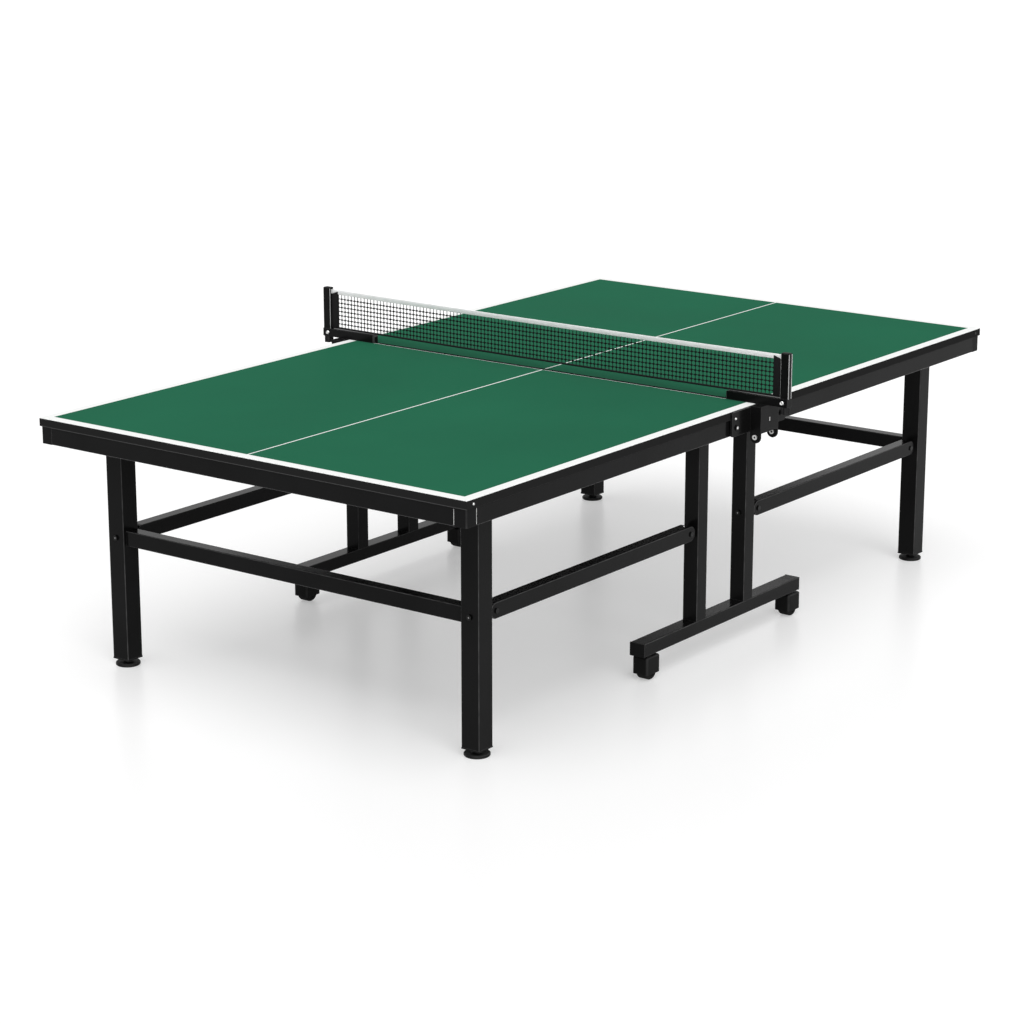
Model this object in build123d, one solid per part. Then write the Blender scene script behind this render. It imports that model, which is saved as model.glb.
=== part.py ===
from build123d import *
import os
from math import hypot

# A folding table tennis table. Two half tops swing up about a wheeled centre frame,
# and each leg frame hangs from its half on a parallel linkage, so its legs stay upright.
# Millimetres. X runs along the table, Y across it, Z up. The origin is on the floor
# below the middle of the net. Front is -X, rear is +X, left is +Y, right is -Y.

# Playing surface
table_length = 2740.0
table_width = 1525.0
table_height = 760.0
panel_thickness = 25.0
panel_edge_radius = 2.0
gap_between_halves = 12.0

# Rounded corners of every rectangular tube
tube_corner_radius = 3.0

# Apron of rectangular tube under each half
rail_height = 50.0
rail_width = 25.0
rail_wall = 2.0
rail_setback = 3.0
rail_end_setback = 4.0
corner_reach = 40.0
corner_spigot_length = 30.0
corner_spigot_clearance = 0.3
corner_radius = 6.0
cross_rail_height = 30.0
cross_rail_width = 40.0
cross_rail_from_net = 330.0

# Fold pivots beside the net
pivot_from_net = 120.0
pivot_bolt_radius = 6.0
pivot_head_radius = 8.0
pivot_head_height = 3.5
bush_wall = 3.0
bush_flange_radius = 15.0
bush_flange_thickness = 2.0
running_clearance = 0.05
side_play = 0.5

# Leg frames
leg_size = 60.0
leg_wall = 2.0
leg_from_end = 195.0
leg_from_side = 120.0
leg_top_clearance = 0.5
link_bar_width = 40.0
link_bar_height = 45.0
link_bar_wall = 2.0
link_bar_level = 390.0
fold_gap = 1.5
open_pivot_clearance = 0.3
link_pin_radius = 5.0
link_pin_head_radius = 7.5
link_pin_head_height = 3.0
lug_thickness = 12.0
lug_half_height = 12.0
lug_slot_clearance = 1.5
lug_bolt_radius = 4.0
lug_bolt_head_radius = 8.0
lug_bolt_head_height = 5.0
lug_bolt_depth = 12.0

# Hinge between each leg and its half
hinge_arm_thickness = 8.0
hinge_arm_half_height = 14.0
hinge_ear_thickness = 5.0
hinge_plate_thickness = 4.0
hinge_plate_length = 70.0
hinge_plate_margin = 16.0

# Levelling feet
leg_plug_lip = 4.0
leg_plug_depth = 22.0
leg_plug_clearance = 0.4
foot_height = 20.0
foot_gap = 0.5
foot_disc_radius = 36.0
foot_disc_height = 10.0
foot_neck_radius = 13.0
foot_stem_radius = 5.0
foot_travel = 15.0
foot_chamfer = 2.5

# Centre frame
upright_size = 50.0
upright_wall = 2.0
upright_from_net = 128.0
upright_top_below_pivot = 20.0
base_rail_length = 850.0
base_rail_width = 50.0
base_rail_height = 40.0
base_rail_wall = 2.0
base_rail_level = 78.0
base_cap_thickness = 3.0
cross_tube_height = 40.0
cross_tube_width = 30.0
cross_tube_wall = 2.0
cross_tube_below_top = 25.0
head_plate_thickness = 8.0
head_plate_half_width = 21.0
head_plate_length = 60.0
head_boss_radius = 14.0

# Swivel casters
caster_from_rail_end = 38.0
caster_trail = 10.0
wheel_radius = 27.0
wheel_width = 40.0
wheel_tread_rounding = 7.0
wheel_rim_width = 5.0
wheel_hub_radius = 9.0
wheel_hub_recess = 3.0
axle_radius = 4.0
hood_length = 66.0
hood_width = 54.0
hood_floor_clearance = 20.0
hood_corner_radius = 9.0
hood_wheel_clearance = 2.5
hood_crown_clearance = 3.0
hood_top_rounding = 6.0
swivel_collar_radius = 20.0
swivel_collar_height = 5.0
caster_stem_radius = 6.0
caster_stem_length = 26.0
swivel_gap = 0.5

# Net and its holders
net_height = 152.5
net_thickness = 3.0
net_overhang = 95.0
net_bottom_gap = 1.5
arm_reach_over_top = 102.0
arm_height = 25.0
arm_width = 26.0
arm_wall = 3.0
arm_end_radius = 8.0
arm_lift = 0.5
post_width = 18.0
post_depth = 26.0
post_wall = 3.0
post_above_net = 4.0
holder_width = 96.0
holder_depth = 36.0
holder_wall = 4.0
holder_height = 78.0
holder_side_gap = 1.5
holder_lobe_drop = 12.0
holder_bolt_radius = 4.0
holder_bolt_head_radius = 7.5
holder_bolt_head_height = 4.0
strut_thickness = 6.0
strut_past_pivot = 25.0
strut_below_top = 3.0
strut_corner_radius = 8.0
knob_radius = 14.0
knob_height = 20.0
knob_stem_radius = 4.0
knob_lobes = 6
knob_flute_radius = 4.0

HALVES = {"front": -1, "rear": 1}
SIDES = {"left": 1, "right": -1}

# Levels and planes that follow from the sizes above
panel_bottom = table_height - panel_thickness
rail_bottom = panel_bottom - rail_height
pivot_level = panel_bottom - rail_height / 2
half_end = table_length / 2
half_inner_edge = gap_between_halves / 2
rail_outer = table_width / 2 - rail_setback
rail_inner = rail_outer - rail_width
end_rail_outer = half_end - rail_setback
frame_y = table_width / 2 - leg_from_side
leg_x = half_end - leg_from_end
leg_inner_face = leg_x - leg_size / 2
leg_bottom = foot_height + foot_gap + leg_plug_lip
leg_top = panel_bottom - leg_top_clearance
upright_outer_face = upright_from_net + upright_size / 2
foot_overhang = max(foot_disc_radius - leg_size / 2, 0.0)
pin_offset = link_bar_height / 2 + foot_overhang + fold_gap
link_pin_at_leg = leg_inner_face - pin_offset
link_pin_at_upright = upright_outer_face + pin_offset
link_length = link_pin_at_leg - link_pin_at_upright
leg_hinge_x = pivot_from_net + link_length
base_rail_top = base_rail_level + base_rail_height
upright_top = pivot_level - upright_top_below_pivot
head_plate_y = frame_y + upright_size / 2
head_boss_end = rail_inner - bush_flange_thickness - side_play
cross_tube_level = upright_top - cross_tube_below_top
arm_bottom = table_height + arm_lift
net_top = table_height + net_height
arm_top = arm_bottom + arm_height
net_bottom = arm_top + net_bottom_gap
post_y = table_width / 2 + net_overhang
arm_outer_end = post_y + post_depth / 2
arm_inner_end = table_width / 2 - arm_reach_over_top
strut_y = table_width / 2 + holder_side_gap
holder_y = strut_y + strut_thickness
holder_middle_y = holder_y + holder_depth / 2
holder_lobe_level = arm_bottom - holder_height - holder_lobe_drop
foot_stem_top = leg_bottom + leg_plug_depth + foot_travel


def block(x_ends, y_ends, z_ends):
    """A box between the given pairs of planes, each pair in either order."""
    spans = [sorted(ends) for ends in (x_ends, y_ends, z_ends)]
    sizes = [high - low for low, high in spans]
    centre = [(high + low) / 2 for low, high in spans]
    return Pos(*centre) * Box(*sizes)


def rod_along_x(x_ends, y, z, radius):
    low, high = sorted(x_ends)
    return Pos((low + high) / 2, y, z) * Rot(0, 90, 0) * Cylinder(radius, high - low)


def rod_along_y(x, y_ends, z, radius):
    low, high = sorted(y_ends)
    return Pos(x, (low + high) / 2, z) * Rot(90, 0, 0) * Cylinder(radius, high - low)


def rod_along_z(x, y, z_ends, radius):
    low, high = sorted(z_ends)
    return Pos(x, y, (low + high) / 2) * Cylinder(radius, high - low)


def rounded_tube(plane, width, height, wall, length):
    """Rectangular tube with rounded corners, extruded from the plane."""
    bore_radius = max(tube_corner_radius - wall, tube_corner_radius / 3)
    section = RectangleRounded(width, height, tube_corner_radius)
    section -= RectangleRounded(width - 2 * wall, height - 2 * wall, bore_radius)
    return extrude(plane * section, length)


def tube_along_x(x_ends, y, z, width, height, wall):
    low, high = sorted(x_ends)
    plane = Plane(origin=(low, y, z), x_dir=(0, 1, 0), z_dir=(1, 0, 0))
    return rounded_tube(plane, width, height, wall, high - low)


def tube_along_y(x, y_ends, z, width, height, wall):
    low, high = sorted(y_ends)
    plane = Plane(origin=(x, low, z), x_dir=(1, 0, 0), z_dir=(0, 1, 0))
    return rounded_tube(plane, width, height, wall, high - low)


def tube_along_z(x, y, z_ends, size, wall):
    low, high = sorted(z_ends)
    plane = Plane(origin=(x, y, low), x_dir=(1, 0, 0), z_dir=(0, 0, 1))
    return rounded_tube(plane, size, size, wall, high - low)


def round_ended_plate(x_flat, x_round, y_ends, z, half_height):
    """A plate in the XZ plane, square at x_flat and full-round about x_round."""
    plate = block((x_flat, x_round), y_ends, (z - half_height, z + half_height))
    return plate + rod_along_y(x_round, y_ends, z, half_height)


# Half tops

def top_panel(half):
    panel = block((half * half_inner_edge, half * half_end), (-table_width / 2, table_width / 2),
                  (panel_bottom, table_height))
    return fillet(panel.edges().group_by(Axis.Z)[-1], panel_edge_radius)


def side_rail(half, side):
    """Side tube of the apron, from the rounded corner joint to just short of the net."""
    ends = (half * (half_inner_edge + rail_end_setback), half * (end_rail_outer - corner_reach))
    rail = tube_along_x(ends, side * (rail_outer - rail_width / 2), pivot_level,
                        rail_width, rail_height, rail_wall)
    return rail - rod_along_y(half * pivot_from_net, (side * rail_inner, side * rail_outer),
                              pivot_level, pivot_bolt_radius + running_clearance + bush_wall)


def end_rail(half):
    ends = (corner_reach - rail_outer, rail_outer - corner_reach)
    return tube_along_y(half * (end_rail_outer - rail_width / 2), ends, pivot_level,
                        rail_width, rail_height, rail_wall)


def cross_rail(half):
    """Flat tube across the half, which keeps the panel from sagging beside the pivots."""
    return tube_along_y(half * cross_rail_from_net, (-rail_inner, rail_inner),
                        panel_bottom - cross_rail_height / 2,
                        cross_rail_width, cross_rail_height, rail_wall)


def corner_joint(half, side):
    """L-shaped corner block with a rounded nose and a spigot into each rail."""
    depth = (rail_bottom, panel_bottom)
    end_leg = block((half * end_rail_outer, half * (end_rail_outer - rail_width)),
                    (side * rail_outer, side * (rail_outer - corner_reach)), depth)
    side_leg = block((half * end_rail_outer, half * (end_rail_outer - corner_reach)),
                     (side * rail_outer, side * rail_inner), depth)
    body = end_leg + side_leg
    nose = body.edges().filter_by(Axis.Z).sort_by(lambda e: hypot(e.center().X, e.center().Y))[-1]
    body = fillet(nose, corner_radius)
    inset = rail_wall + corner_spigot_clearance
    spigot_z = (rail_bottom + inset, panel_bottom - inset)
    tip_x = end_rail_outer - corner_reach - corner_spigot_length
    body += block((half * (end_rail_outer - corner_reach), half * tip_x),
                  (side * (rail_outer - inset), side * (rail_inner + inset)), spigot_z)
    tip_y = rail_outer - corner_reach - corner_spigot_length
    body += block((half * (end_rail_outer - inset), half * (end_rail_outer - rail_width + inset)),
                  (side * (rail_outer - corner_reach), side * tip_y), spigot_z)
    return body


def pivot_bush(half, side):
    """Flanged bearing bush that lines the pivot hole of a side rail."""
    x = half * pivot_from_net
    sleeve_radius = pivot_bolt_radius + running_clearance + bush_wall
    bush = rod_along_y(x, (side * rail_inner, side * rail_outer), pivot_level, sleeve_radius)
    flange_y = (side * rail_inner, side * (rail_inner - bush_flange_thickness))
    bush += rod_along_y(x, flange_y, pivot_level, bush_flange_radius)
    bore_y = (side * (rail_inner - bush_flange_thickness), side * rail_outer)
    return bush - rod_along_y(x, bore_y, pivot_level, pivot_bolt_radius + running_clearance)


def leg_hinge_bracket(half, side):
    """Plate under the panel with two ears that hold the hinge pin of a leg."""
    x = half * leg_hinge_x
    ear_inner = hinge_arm_thickness / 2 + side_play
    ear_outer = ear_inner + hinge_ear_thickness
    plate_y = ear_outer + hinge_plate_margin
    bracket = block((x - hinge_plate_length / 2, x + hinge_plate_length / 2),
                    (side * frame_y - plate_y, side * frame_y + plate_y),
                    (panel_bottom - hinge_plate_thickness, panel_bottom))
    for direction in (-1, 1):
        ear_y = (side * frame_y + direction * ear_inner, side * frame_y + direction * ear_outer)
        ear = block((x - hinge_arm_half_height, x + hinge_arm_half_height), ear_y,
                    (pivot_level, panel_bottom - hinge_plate_thickness))
        ear += rod_along_y(x, ear_y, pivot_level, hinge_arm_half_height)
        bracket += ear - rod_along_y(x, ear_y, pivot_level, link_pin_radius + running_clearance)
    return bracket


# Leg frames

def leg(half, side):
    """Square leg tube with the two holes of the bolt that holds the link lug."""
    tube = tube_along_z(half * leg_x, side * frame_y, (leg_bottom, leg_top), leg_size, leg_wall)
    faces = (half * leg_inner_face, half * (leg_inner_face + leg_size))
    return tube - rod_along_x(faces, side * frame_y, link_bar_level, lug_bolt_radius)


def leg_cross_bar(half):
    ends = (leg_size / 2 - frame_y, frame_y - leg_size / 2)
    return tube_along_y(half * leg_x, ends, link_bar_level,
                        link_bar_width, link_bar_height, link_bar_wall)


def hinge_arm(half, side):
    """Plate that reaches inward from the leg top to the hinge under the panel."""
    y_ends = (side * frame_y - hinge_arm_thickness / 2, side * frame_y + hinge_arm_thickness / 2)
    arm = round_ended_plate(half * leg_inner_face, half * leg_hinge_x, y_ends,
                            pivot_level, hinge_arm_half_height)
    return arm - rod_along_y(half * leg_hinge_x, y_ends, pivot_level, link_pin_radius)


def link_lug(face_x, pin_x, side):
    """Lug bolted to a leg or an upright, with a pin hole and a blind hole for its bolt."""
    y_ends = (side * frame_y - lug_thickness / 2, side * frame_y + lug_thickness / 2)
    lug = round_ended_plate(face_x, pin_x, y_ends, link_bar_level, lug_half_height)
    lug -= rod_along_y(pin_x, y_ends, link_bar_level, link_pin_radius)
    inward = 1 if pin_x > face_x else -1
    return lug - rod_along_x((face_x, face_x + inward * lug_bolt_depth), side * frame_y,
                             link_bar_level, lug_bolt_radius)


def lug_bolt(head_face_x, lug_face_x, side):
    """Bolt along X through a leg or an upright into the lug on its far face."""
    inward = 1 if lug_face_x > head_face_x else -1
    shank = (head_face_x, lug_face_x + inward * lug_bolt_depth)
    bolt = rod_along_x(shank, side * frame_y, link_bar_level, lug_bolt_radius)
    head = (head_face_x, head_face_x - inward * lug_bolt_head_height)
    return bolt + rod_along_x(head, side * frame_y, link_bar_level, lug_bolt_head_radius)


def headed_pin(x, z, side, half_length):
    """Cross pin along Y, with a low round head at both ends."""
    centre = side * frame_y
    pin = rod_along_y(x, (centre - half_length, centre + half_length), z, link_pin_radius)
    for direction in (-1, 1):
        head = (centre + direction * half_length,
                centre + direction * (half_length + link_pin_head_height))
        pin += rod_along_y(x, head, z, link_pin_head_radius)
    return pin


def leg_hinge_pin(half, side):
    half_length = hinge_arm_thickness / 2 + 2 * side_play + hinge_ear_thickness
    return headed_pin(half * leg_hinge_x, pivot_level, side, half_length)


def link_pin(x, side):
    return headed_pin(x, link_bar_level, side, link_bar_width / 2 + side_play)


def leg_plug(half, side):
    """Moulded plug in the open end of a leg, bored for the stem of its foot."""
    x = half * leg_x
    y = side * frame_y
    lip = block((x - leg_size / 2, x + leg_size / 2), (y - leg_size / 2, y + leg_size / 2),
                (leg_bottom - leg_plug_lip, leg_bottom))
    half_width = leg_size / 2 - leg_wall - leg_plug_clearance
    core = block((x - half_width, x + half_width), (y - half_width, y + half_width),
                 (leg_bottom, leg_bottom + leg_plug_depth))
    bore = rod_along_z(x, y, (leg_bottom - leg_plug_lip, leg_bottom + leg_plug_depth),
                       foot_stem_radius + running_clearance)
    return lip + core - bore


def levelling_foot(half, side):
    """Turned foot: a wide disc, a tapering neck and a stem that screws into the plug."""
    stem = foot_stem_radius
    with BuildPart() as foot:
        with BuildSketch(Plane.XZ):
            with BuildLine():
                Polyline((0, 0), (foot_disc_radius - foot_chamfer, 0),
                         (foot_disc_radius, foot_chamfer),
                         (foot_disc_radius, foot_disc_height - foot_chamfer),
                         (foot_disc_radius - foot_chamfer, foot_disc_height),
                         (foot_neck_radius + foot_chamfer, foot_disc_height),
                         (foot_neck_radius, foot_disc_height + foot_chamfer),
                         (foot_neck_radius, foot_height), (stem, foot_height),
                         (stem, foot_stem_top), (0, foot_stem_top), close=True)
            make_face()
        revolve(axis=Axis.Z)
    return Pos(half * leg_x, side * frame_y, 0) * foot.part


def link_bar(half, side):
    """Side link with round ends that straddle their lugs, slotted where a lug swings out."""
    y = side * frame_y
    y_ends = (y - link_bar_width / 2, y + link_bar_width / 2)
    radius = link_bar_height / 2
    z_ends = (link_bar_level - radius, link_bar_level + radius)
    ends = {link_pin_at_leg: -1, link_pin_at_upright: 1}
    middle_x = half * (link_pin_at_leg + link_pin_at_upright) / 2
    plane = Plane(origin=(middle_x, y_ends[0], link_bar_level), x_dir=(1, 0, 0), z_dir=(0, 1, 0))
    bar = extrude(plane * SlotCenterToCenter(link_length, link_bar_height), link_bar_width)
    rims = bar.edges().group_by(Axis.Y)
    bar = fillet(rims[0] + rims[-1], tube_corner_radius)
    bore_x = (half * (link_pin_at_leg + radius), half * (link_pin_at_upright - radius))
    bore_y = (y - link_bar_width / 2 + link_bar_wall, y + link_bar_width / 2 - link_bar_wall)
    bore_z = (z_ends[0] + link_bar_wall, z_ends[1] - link_bar_wall)
    bar -= block(bore_x, bore_y, bore_z)
    slot_reach = lug_half_height + lug_slot_clearance
    slot_half = lug_thickness / 2 + lug_slot_clearance
    for pin_x, slotted_face in ends.items():
        outward = -slotted_face
        slot_x = (half * (pin_x - outward * slot_reach), half * (pin_x + outward * radius))
        bar -= block(slot_x, (y - slot_half, y + slot_half),
                     (link_bar_level, link_bar_level + slotted_face * radius))
    bar -= rod_along_y(half * link_pin_at_leg, y_ends, link_bar_level,
                       link_pin_radius + open_pivot_clearance)
    return bar - rod_along_y(half * link_pin_at_upright, y_ends, link_bar_level,
                             link_pin_radius + running_clearance)


# Centre frame

def caster_x(end):
    return end * (base_rail_length / 2 - caster_from_rail_end)


def base_rail(side):
    """Foot rail of the centre frame, with a stem hole over each caster."""
    length = base_rail_length - 2 * base_cap_thickness
    rail = tube_along_x((-length / 2, length / 2), side * frame_y,
                        base_rail_level + base_rail_height / 2,
                        base_rail_width, base_rail_height, base_rail_wall)
    for end in HALVES.values():
        rail -= rod_along_z(caster_x(end), side * frame_y,
                            (base_rail_level, base_rail_level + base_rail_wall),
                            caster_stem_radius + running_clearance)
    return rail


def base_cap(end, side):
    cap_x = (end * base_rail_length / 2, end * (base_rail_length / 2 - base_cap_thickness))
    y = side * frame_y
    return block(cap_x, (y - base_rail_width / 2, y + base_rail_width / 2),
                 (base_rail_level, base_rail_top))


def upright(half, side):
    tube = tube_along_z(half * upright_from_net, side * frame_y, (base_rail_top, upright_top),
                        upright_size, upright_wall)
    faces = (half * upright_outer_face, half * (upright_outer_face - upright_size))
    return tube - rod_along_x(faces, side * frame_y, link_bar_level, lug_bolt_radius)


def cross_tube(half):
    """Tube across the table that joins the left and right uprights."""
    ends = (upright_size / 2 - frame_y, frame_y - upright_size / 2)
    return tube_along_y(half * upright_from_net, ends, cross_tube_level,
                        cross_tube_width, cross_tube_height, cross_tube_wall)


def head_plate(half, side):
    """Round-topped plate on an upright, with a long boss that carries the fold pivot."""
    x = half * pivot_from_net
    y_ends = (side * head_plate_y, side * (head_plate_y + head_plate_thickness))
    plate = block((x - head_plate_half_width, x + head_plate_half_width), y_ends,
                  (pivot_level - head_plate_length, pivot_level))
    plate += rod_along_y(x, y_ends, pivot_level, head_plate_half_width)
    boss_y = (side * (head_plate_y + head_plate_thickness), side * head_boss_end)
    plate += rod_along_y(x, boss_y, pivot_level, head_boss_radius)
    bore_y = (side * head_plate_y, side * head_boss_end)
    return plate - rod_along_y(x, bore_y, pivot_level, pivot_bolt_radius)


def pivot_bolt(half, side):
    """Long bolt of a fold pivot, from the head plate out through the rail and the net strut."""
    x = half * pivot_from_net
    bolt = rod_along_y(x, (side * head_plate_y, side * holder_y), pivot_level, pivot_bolt_radius)
    return bolt + rod_along_y(x, (side * holder_y, side * (holder_y + pivot_head_height)),
                              pivot_level, pivot_head_radius)


# Casters

def caster_fork(end, side):
    """Boxy hood over the wheel with a swivel stem, and the axle between its cheeks."""
    collar_top = base_rail_level - swivel_gap
    top = collar_top - swivel_collar_height
    axle_x = caster_trail
    hood = block((axle_x - hood_length / 2, axle_x + hood_length / 2),
                 (-hood_width / 2, hood_width / 2), (hood_floor_clearance, top))
    hood = fillet(hood.edges().filter_by(Axis.Z), hood_corner_radius)
    hood = fillet(hood.edges().group_by(Axis.Z)[-1], hood_top_rounding)
    cheek = wheel_width / 2 + hood_wheel_clearance
    pocket = wheel_radius + hood_crown_clearance
    hood -= block((axle_x - pocket, axle_x + pocket), (-cheek, cheek),
                  (hood_floor_clearance, wheel_radius))
    hood -= rod_along_y(axle_x, (-cheek, cheek), wheel_radius, pocket)
    hood -= rod_along_y(axle_x, (-hood_width / 2, hood_width / 2), wheel_radius, axle_radius)
    hood += rod_along_z(0, 0, (top, collar_top), swivel_collar_radius)
    hood += rod_along_z(0, 0, (collar_top, base_rail_level + caster_stem_length), caster_stem_radius)
    axle = rod_along_y(axle_x, (-hood_width / 2, hood_width / 2), wheel_radius, axle_radius)
    place = Pos(caster_x(end), side * frame_y, 0)
    return [place * hood, place * axle]


def caster_wheel(end, side):
    """Wheel with a rounded tread, a recessed face on each side and a plain bore."""
    half_width = wheel_width / 2
    wheel = rod_along_y(0, (-half_width, half_width), 0, wheel_radius)
    rims = wheel.edges().filter_by(GeomType.CIRCLE)
    wheel = fillet(rims, wheel_tread_rounding)
    for direction in (-1, 1):
        recess = (direction * half_width, direction * (half_width - wheel_hub_recess))
        ring = rod_along_y(0, recess, 0, wheel_radius - wheel_tread_rounding - wheel_rim_width)
        wheel -= ring - rod_along_y(0, recess, 0, wheel_hub_radius)
    wheel -= rod_along_y(0, (-half_width, half_width), 0, axle_radius + running_clearance)
    return Pos(caster_x(end) + caster_trail, side * frame_y, wheel_radius) * wheel


# Net

def net():
    reach = post_y - post_depth / 2 + post_wall
    return block((-net_thickness / 2, net_thickness / 2), (-reach, reach), (net_bottom, net_top))


def net_arm(side):
    """Hollow bar on the table top, rounded at its inner end, that carries the post."""
    ends = (side * arm_inner_end, side * arm_outer_end)
    arm = block((-arm_width / 2, arm_width / 2), ends, (arm_bottom, arm_top))
    inner_end = arm.faces().sort_by(Axis.Y)[0 if side > 0 else -1]
    arm = fillet(inner_end.edges().sort_by(Axis.Z)[1:], arm_end_radius)
    hollow_x = (arm_wall - arm_width / 2, arm_width / 2 - arm_wall)
    hollow_y = (side * (arm_inner_end + arm_end_radius), side * (arm_outer_end - arm_wall))
    arm -= block(hollow_x, hollow_y, (arm_bottom, arm_top - arm_wall))
    return arm - rod_along_z(0, side * post_y, (arm_top - arm_wall, arm_top),
                             knob_stem_radius + running_clearance)


def net_post(side):
    """Upright channel, open towards the net, that stands in the end of its arm."""
    y_ends = (side * (post_y - post_depth / 2), side * (post_y + post_depth / 2))
    z_ends = (arm_top, net_top + post_above_net)
    post = block((-post_width / 2, post_width / 2), y_ends, z_ends)
    slot = post_width / 2 - post_wall
    inside = (side * (post_y - post_depth / 2), side * (post_y + post_depth / 2 - post_wall))
    mouth = (-net_thickness / 2, net_thickness / 2)
    lip = (side * (post_y - post_depth / 2), side * (post_y - post_depth / 2 + post_wall))
    cavity = block((-slot, slot), (lip[1], inside[1]), z_ends)
    return post - cavity - block(mouth, lip, z_ends)


def net_holder(side):
    """Box bracket outside the side rail, with two round-bottomed cheeks below it."""
    y_ends = (side * holder_y, side * (holder_y + holder_depth))
    inner_y = (side * (holder_y + holder_wall), side * (holder_y + holder_depth - holder_wall))
    z_ends = (arm_bottom - holder_height, arm_bottom)
    reach = holder_width / 2
    box = block((-reach, reach), y_ends, z_ends)
    box -= block((holder_wall - reach, reach - holder_wall), inner_y, z_ends)
    middle_y = side * holder_middle_y
    lobe_z = holder_lobe_level
    for direction in (-1, 1):
        cheek_x = (direction * reach, direction * (reach - holder_wall))
        box += block(cheek_x, y_ends, (lobe_z, z_ends[0]))
        box += rod_along_x(cheek_x, middle_y, lobe_z, holder_depth / 2)
        box -= rod_along_x(cheek_x, middle_y, lobe_z, holder_bolt_radius)
    return box


def holder_bolt(direction, side):
    """Bolt through one cheek of a net holder, with its head outside and its nut inside."""
    faces = (holder_width / 2, holder_width / 2 - holder_wall)
    head = faces[0] + holder_bolt_head_height
    nut = faces[1] - holder_bolt_head_height
    y = side * holder_middle_y
    bolt = rod_along_x((direction * nut, direction * head), y, holder_lobe_level, holder_bolt_radius)
    for ends in ((head, faces[0]), (nut, faces[1])):
        bolt += rod_along_x((direction * ends[0], direction * ends[1]), y, holder_lobe_level,
                            holder_bolt_head_radius)
    return bolt


def net_strut(side):
    """Plate outside the apron that spans the two fold pivots of one side and carries the net holder."""
    reach = pivot_from_net + strut_past_pivot
    y_ends = (side * strut_y, side * holder_y)
    plate = block((-reach, reach), y_ends, (rail_bottom, table_height - strut_below_top))
    plate = fillet(plate.edges().filter_by(Axis.Y), strut_corner_radius)
    for half in HALVES.values():
        plate -= rod_along_y(half * pivot_from_net, y_ends, pivot_level, pivot_bolt_radius)
    return plate


def clamp_knob(side):
    """Fluted knob under the arm, on a stem that clamps the net post."""
    knob = rod_along_z(0, 0, (-knob_height, 0), knob_radius)
    for step in range(knob_lobes):
        turn = Rot(0, 0, step * 360 / knob_lobes)
        knob -= turn * rod_along_z(knob_radius + knob_flute_radius / 2, 0, (-knob_height, 0),
                                   knob_flute_radius)
    knob += rod_along_z(0, 0, (0, arm_height), knob_stem_radius)
    return Pos(0, side * post_y, arm_bottom - side_play) * knob


def save(node, *pieces):
    """Writes one node, which is one solid or a group of separate solids."""
    solids = [solid for piece in pieces for solid in piece.solids()]
    shape = solids[0] if len(solids) == 1 else Compound(children=solids)
    shape.label = node
    export_step(shape, os.path.join("parts", node + ".step"))


os.makedirs("parts", exist_ok=True)

for half_name, half in HALVES.items():
    save("top_panel_" + half_name, top_panel(half))
    save("end_rail_" + half_name, end_rail(half))
    save("cross_rail_" + half_name, cross_rail(half))
    save("corner_joints_" + half_name, *[corner_joint(half, side) for side in SIDES.values()])
    save("pivot_bushes_" + half_name, *[pivot_bush(half, side) for side in SIDES.values()])
    save("leg_hinge_brackets_" + half_name, *[leg_hinge_bracket(half, side) for side in SIDES.values()])
    save("leg_cross_bar_" + half_name, leg_cross_bar(half))
    save("leg_plugs_" + half_name, *[leg_plug(half, side) for side in SIDES.values()])
    brackets = []
    pins = []
    for side in SIDES.values():
        brackets.append(hinge_arm(half, side))
        brackets.append(link_lug(half * leg_inner_face, half * link_pin_at_leg, side))
        pins.append(leg_hinge_pin(half, side))
        pins.append(link_pin(half * link_pin_at_leg, side))
        pins.append(lug_bolt(half * (leg_inner_face + leg_size), half * leg_inner_face, side))
    save("leg_brackets_" + half_name, *brackets)
    save("leg_pins_" + half_name, *pins)
    for side_name, side in SIDES.items():
        place = half_name + "_" + side_name
        save("side_rail_" + place, side_rail(half, side))
        save("leg_" + place, leg(half, side))
        save("levelling_foot_" + place, levelling_foot(half, side))
        save("link_bar_" + place, link_bar(half, side))
        save("caster_fork_" + place, *caster_fork(half, side))
        save("caster_wheel_" + place, caster_wheel(half, side))

corners = [(half, side) for half in HALVES.values() for side in SIDES.values()]
save("uprights", *[upright(half, side) for half, side in corners])
save("head_plates", *[head_plate(half, side) for half, side in corners])
save("base_caps", *[base_cap(half, side) for half, side in corners])
centre_lugs = []
centre_pins = []
for half, side in corners:
    pin_x = half * link_pin_at_upright
    outer_face = half * upright_outer_face
    centre_lugs.append(link_lug(outer_face, pin_x, side))
    centre_pins.append(pivot_bolt(half, side))
    centre_pins.append(link_pin(pin_x, side))
    centre_pins.append(lug_bolt(outer_face - half * upright_size, outer_face, side))
    centre_pins.append(holder_bolt(half, side))
save("upright_lugs", *centre_lugs)
save("centre_pins", *centre_pins)
save("frame_cross_members", *[cross_tube(half) for half in HALVES.values()])
save("net", net())
save("net_arms", *[net_arm(side) for side in SIDES.values()])
save("net_posts", *[net_post(side) for side in SIDES.values()])
save("net_holders", *[net_holder(side) for side in SIDES.values()])
save("net_struts", *[net_strut(side) for side in SIDES.values()])
for side_name, side in SIDES.items():
    save("base_rail_" + side_name, base_rail(side))
    save("clamp_knob_" + side_name, clamp_knob(side))
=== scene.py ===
import math

import bmesh
import bpy
from mathutils import Matrix, Vector


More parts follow.
